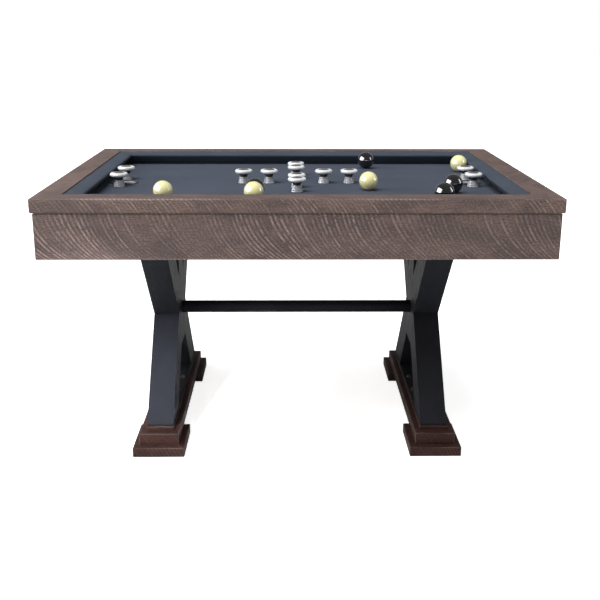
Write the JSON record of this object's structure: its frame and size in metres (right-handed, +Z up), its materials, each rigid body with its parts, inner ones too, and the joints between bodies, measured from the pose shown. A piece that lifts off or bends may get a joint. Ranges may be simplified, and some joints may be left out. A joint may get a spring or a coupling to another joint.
{
  "type": "bumper pool table",
  "caption": "Rectangular bumper pool table with a mitred saw-marked wood frame, slate-grey cloth, ringed bumpers, loose balls and steel X trestles on stepped wooden feet.",
  "frame": {"origin": "on the floor under the middle of the table", "axes": "+X along the table's length, -Y to its front, +Z up"},
  "size_m": [1.422, 1.067, 0.8245],
  "materials": {
    "rail_wood": "satin saw-marked dark brown stain",
    "apron_wood": "satin saw-marked dark brown stain",
    "foot_wood": "satin saw-marked dark brown stain",
    "carcass_wood": "plain unfinished",
    "bed_board": "plain board",
    "bed_cloth": "worsted slate-grey cloth",
    "cushion_cloth": "worsted slate-grey cloth",
    "cushion_rubber": "moulded",
    "bumper_ring": "smooth white",
    "bumper_base": "ribbed satin grey",
    "bumper_head": "black",
    "pocket_liner": "satin black rim, pale inside",
    "tray_plastic": "moulded black",
    "trestle_steel": "satin black powder coat",
    "zinc_steel": "zinc plated",
    "black_bolt": "black oxide",
    "yellow_phenolic": "polished",
    "black_phenolic": "polished"
  },
  "bodies": {
    "table": {"apron_back": "apron_wood", "apron_front": "apron_wood", "apron_left": "apron_wood", "apron_right": "apron_wood", "ball_tray_left": "tray_plastic", "ball_tray_right": "tray_plastic", "bed_board": "bed_board", "bed_cleats": "carcass_wood", "bed_cloth": "bed_cloth", "bumper_bases": "bumper_base", "bumper_caps": "bumper_head", "bumper_heads": "bumper_head", "bumper_rings": "bumper_ring", "bumper_studs": "zinc_steel", "corner_blocks": "carcass_wood", "cross_beams": "carcass_wood", "cushion_cloth": "cushion_cloth", "cushion_rubber_back": "cushion_rubber", "cushion_rubber_front": "cushion_rubber", "cushion_rubber_left": "cushion_rubber", "cushion_rubber_right": "cushion_rubber", "foot_beam_left": "foot_wood", "foot_beam_right": "foot_wood", "foot_bolts": "black_bolt", "foot_collars": "foot_wood", "foot_pads": "foot_wood", "foot_plates": "trestle_steel", "left_lower_front_arm": "trestle_steel", "left_lower_rear_arm": "trestle_steel", "left_post": "trestle_steel", "left_upper_front_arm": "trestle_steel", "left_upper_rear_arm": "trestle_steel", "pocket_liners": "pocket_liner", "rail_back": "rail_wood", "rail_bolts": "zinc_steel", "rail_front": "rail_wood", "rail_left": "rail_wood", "rail_right": "rail_wood", "right_lower_front_arm": "trestle_steel", "right_lower_rear_arm": "trestle_steel", "right_post": "trestle_steel", "right_upper_front_arm": "trestle_steel", "right_upper_rear_arm": "trestle_steel", "stretcher_bolts": "black_bolt", "stretcher_plugs": "trestle_steel", "stretcher_tube": "trestle_steel", "top_plates": "trestle_steel", "tray_screws": "zinc_steel", "trestle_bolts": "black_bolt"},
    "black_ball_1": {"black_ball_1": "black_phenolic"},
    "black_ball_2": {"black_ball_2": "black_phenolic"},
    "black_ball_3": {"black_ball_3": "black_phenolic"},
    "black_ball_4": {"black_ball_4": "black_phenolic"},
    "black_ball_5": {"black_ball_5": "black_phenolic"},
    "yellow_ball_1": {"yellow_ball_1": "yellow_phenolic"},
    "yellow_ball_2": {"yellow_ball_2": "yellow_phenolic"},
    "yellow_ball_3": {"yellow_ball_3": "yellow_phenolic"},
    "yellow_ball_4": {"yellow_ball_4": "yellow_phenolic"},
    "yellow_ball_5": {"yellow_ball_5": "yellow_phenolic"}
  },
  "joints": [
    {"name": "black_ball_1_roll", "type": "slide", "parent": "table", "child": "black_ball_1", "axis": [1, 0, 0], "range_m": [-0.3, 0.2]},
    {"name": "black_ball_2_roll", "type": "slide", "parent": "table", "child": "black_ball_2", "axis": [0, 1, 0], "range_m": [0, 0.13]},
    {"name": "black_ball_3_roll", "type": "slide", "parent": "table", "child": "black_ball_3", "axis": [1, 0, 0], "range_m": [-0.2, 0.12]},
    {"name": "black_ball_4_roll", "type": "slide", "parent": "table", "child": "black_ball_4", "axis": [0, 1, 0], "range_m": [0, 0.12]},
    {"name": "black_ball_5_roll", "type": "slide", "parent": "table", "child": "black_ball_5", "axis": [-0.9986, 0, 0.0523], "range_m": [0, 0.115]},
    {"name": "yellow_ball_1_roll", "type": "slide", "parent": "table", "child": "yellow_ball_1", "axis": [1, 0, 0], "range_m": [-0.13, 0.11]},
    {"name": "yellow_ball_2_roll", "type": "slide", "parent": "table", "child": "yellow_ball_2", "axis": [1, 0, 0], "range_m": [-0.05, 0.24]},
    {"name": "yellow_ball_3_roll", "type": "slide", "parent": "table", "child": "yellow_ball_3", "axis": [1, 0, 0], "range_m": [0, 0.13]},
    {"name": "yellow_ball_4_roll", "type": "slide", "parent": "table", "child": "yellow_ball_4", "axis": [0, 1, 0], "range_m": [-0.07, 0.12]},
    {"name": "yellow_ball_5_roll", "type": "slide", "parent": "table", "child": "yellow_ball_5", "axis": [0.9986, 0, 0.0523], "range_m": [0, 0.115]}
  ]
}
